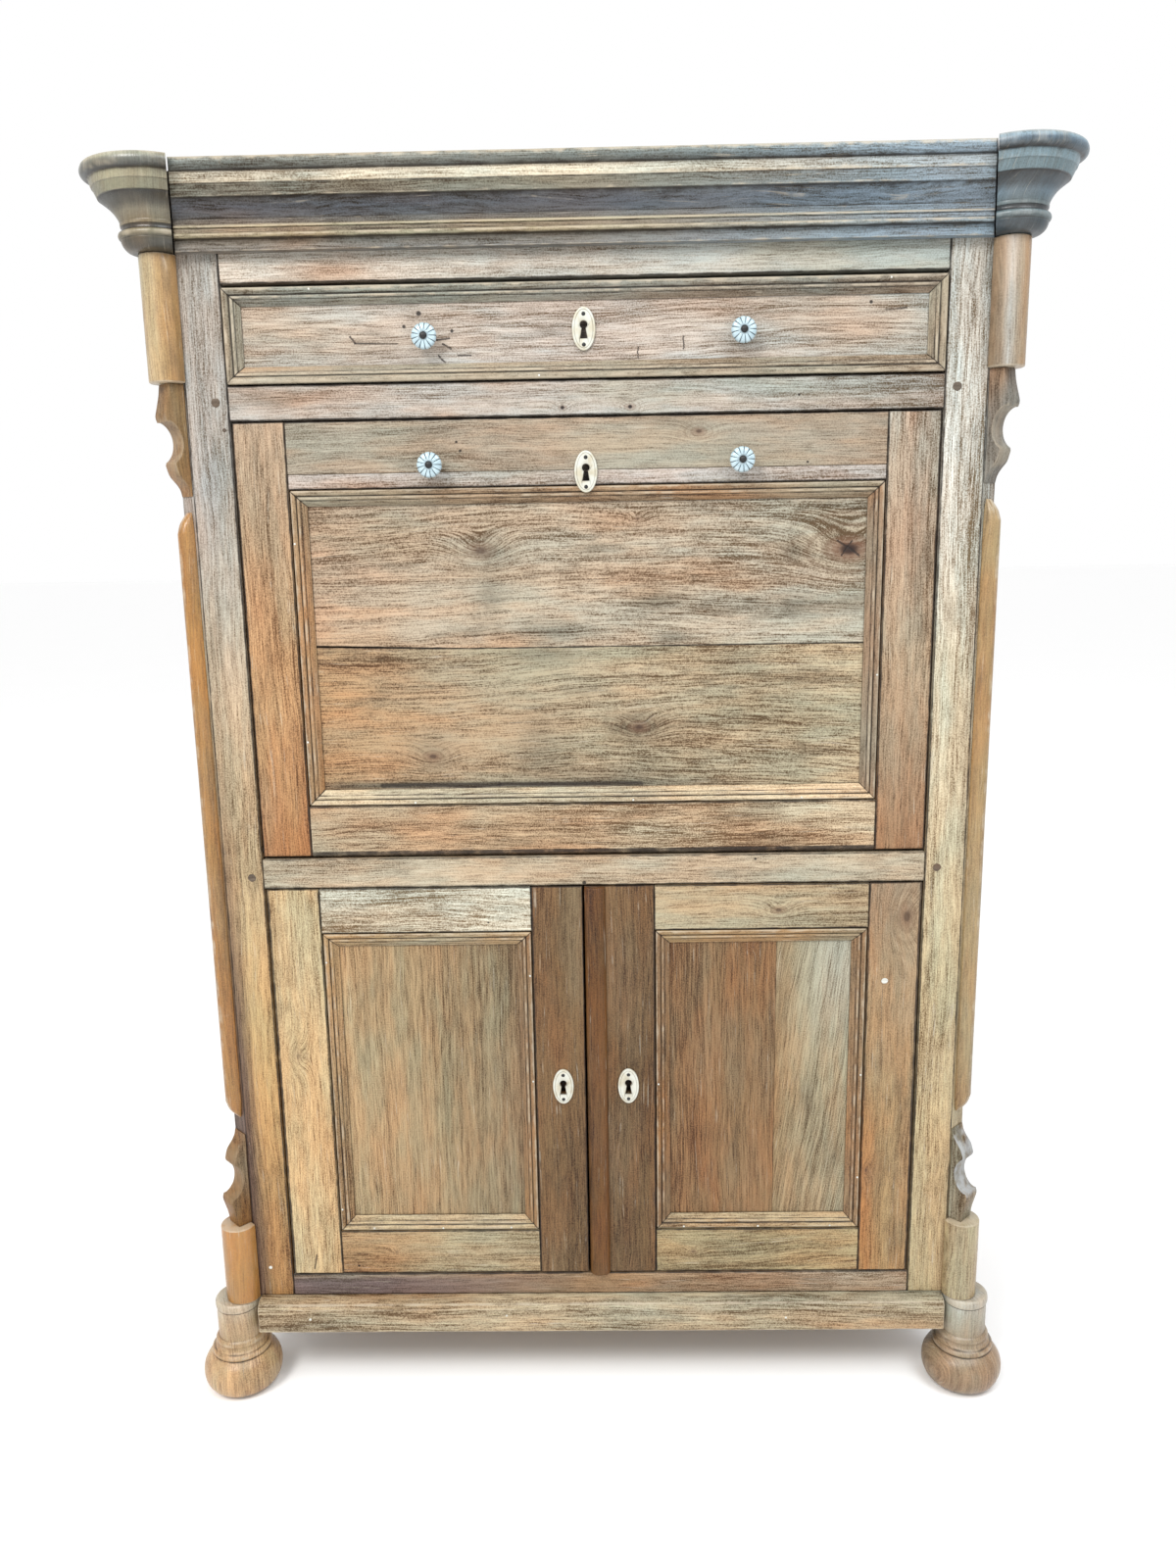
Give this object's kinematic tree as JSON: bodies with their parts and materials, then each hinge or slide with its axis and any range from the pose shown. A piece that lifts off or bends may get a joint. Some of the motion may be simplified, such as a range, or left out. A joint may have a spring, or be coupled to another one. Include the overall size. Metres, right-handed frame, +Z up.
{
  "type": "fall-front secretary cabinet",
  "caption": "Tall wooden secretary with a moulded cornice on turned corners, a shallow drawer, a fall-front writing flap, a two-door cupboard and bun feet.",
  "frame": {"origin": "on the floor, under the middle of the cabinet's overall length and depth", "axes": "+Z up, +X to the viewer's right, the front with the drawer, fall and doors faces -Y"},
  "size_m": [1.074, 0.5197, 1.4878],
  "materials": {
    "wood": "old wax over weathered brown wood",
    "wood_grey": "weathered grey-brown wood",
    "wood_red": "waxed reddish wood",
    "wood_pale": "worn pale honey wood",
    "wood_secondary": "plain unfinished softwood",
    "bone": "polished bone",
    "ceramic": "glazed",
    "brass": "aged",
    "iron": "dark"
  },
  "bodies": {
    "carcass": {"stile_left": "wood_grey", "stile_right": "wood_grey", "side_left": "wood", "side_right": "wood", "back_panel": "wood_secondary", "cupboard_floor": "wood_secondary", "desk_floor": "wood", "dust_board": "wood_secondary", "top_board": "wood", "frieze_rail": "wood", "drawer_rail": "wood", "middle_rail": "wood_pale", "bottom_rail": "wood", "plinth": "wood_pale", "cornice_front": "wood_grey", "cornice_side_left": "wood_grey", "cornice_side_right": "wood_grey", "cornice_corner_left": "wood_grey", "cornice_corner_right": "wood_grey", "upper_column_left": "wood", "upper_column_right": "wood", "upper_bracket_left": "wood", "upper_bracket_right": "wood", "corner_rod_left": "wood", "corner_rod_right": "wood", "lower_bracket_left": "wood_pale", "lower_bracket_right": "wood_pale", "lower_column_left": "wood", "lower_column_right": "wood", "foot_front_left": "wood", "foot_front_right": "wood", "pigeonhole_unit": "wood_secondary"},
    "drawer": {"drawer_front": "wood_red", "drawer_tray": "wood_secondary", "drawer_moulding": "wood_pale", "drawer_knob_left": "ceramic", "drawer_knob_right": "ceramic", "drawer_escutcheon": "bone"},
    "drawer_bolt": {"drawer_lock_bolt": "iron"},
    "fall": {"fall_frame": "wood_red", "fall_panel": "wood", "fall_moulding": "wood_red", "fall_knob_left": "ceramic", "fall_knob_right": "ceramic", "fall_escutcheon": "bone", "fall_stay_left": "brass", "fall_stay_right": "brass"},
    "fall_bolt": {"fall_lock_bolt": "iron"},
    "door_left": {"door_left_frame": "wood", "door_left_panel": "wood", "door_left_moulding": "wood", "door_left_escutcheon": "bone"},
    "door_right": {"door_right_frame": "wood", "door_right_panel": "wood", "door_right_moulding": "wood", "door_right_escutcheon": "bone", "door_astragal": "wood_red"},
    "door_bolt": {"door_lock_bolt": "iron"},
    "inner_left": {"inner_drawer_left": "wood_pale"},
    "inner_right": {"inner_drawer_right": "wood_pale"}
  },
  "joints": [
    {"name": "drawer_slide", "type": "slide", "parent": "carcass", "child": "drawer", "axis": [0, -1, 0], "range_m": [0, 0.3]},
    {"name": "fall_hinge", "type": "hinge", "parent": "carcass", "child": "fall", "pos_m": [0, -0.1795, 0.7275], "axis": [1, 0, 0], "range_deg": [0, 90]},
    {"name": "door_left_hinge", "type": "hinge", "parent": "carcass", "child": "door_left", "pos_m": [-0.3896, -0.1825, 0.159], "axis": [0, 0, -1], "range_deg": [0, 105]},
    {"name": "door_right_hinge", "type": "hinge", "parent": "carcass", "child": "door_right", "pos_m": [0.3896, -0.1825, 0.159], "axis": [0, 0, 1], "range_deg": [0, 105]},
    {"name": "inner_drawer_left_slide", "type": "slide", "parent": "carcass", "child": "inner_left", "axis": [0, -1, 0], "range_m": [0, 0.15]},
    {"name": "inner_drawer_right_slide", "type": "slide", "parent": "carcass", "child": "inner_right", "axis": [0, -1, 0], "range_m": [0, 0.15]},
    {"name": "drawer_bolt_slide", "type": "slide", "parent": "drawer", "child": "drawer_bolt", "axis": [0, 0, 1], "range_m": [0, 0.01]},
    {"name": "fall_bolt_slide", "type": "slide", "parent": "fall", "child": "fall_bolt", "axis": [0, 0, 1], "range_m": [0, 0.009]},
    {"name": "door_bolt_slide", "type": "slide", "parent": "door_right", "child": "door_bolt", "axis": [-1, 0, 0], "range_m": [0, 0.008]}
  ]
}
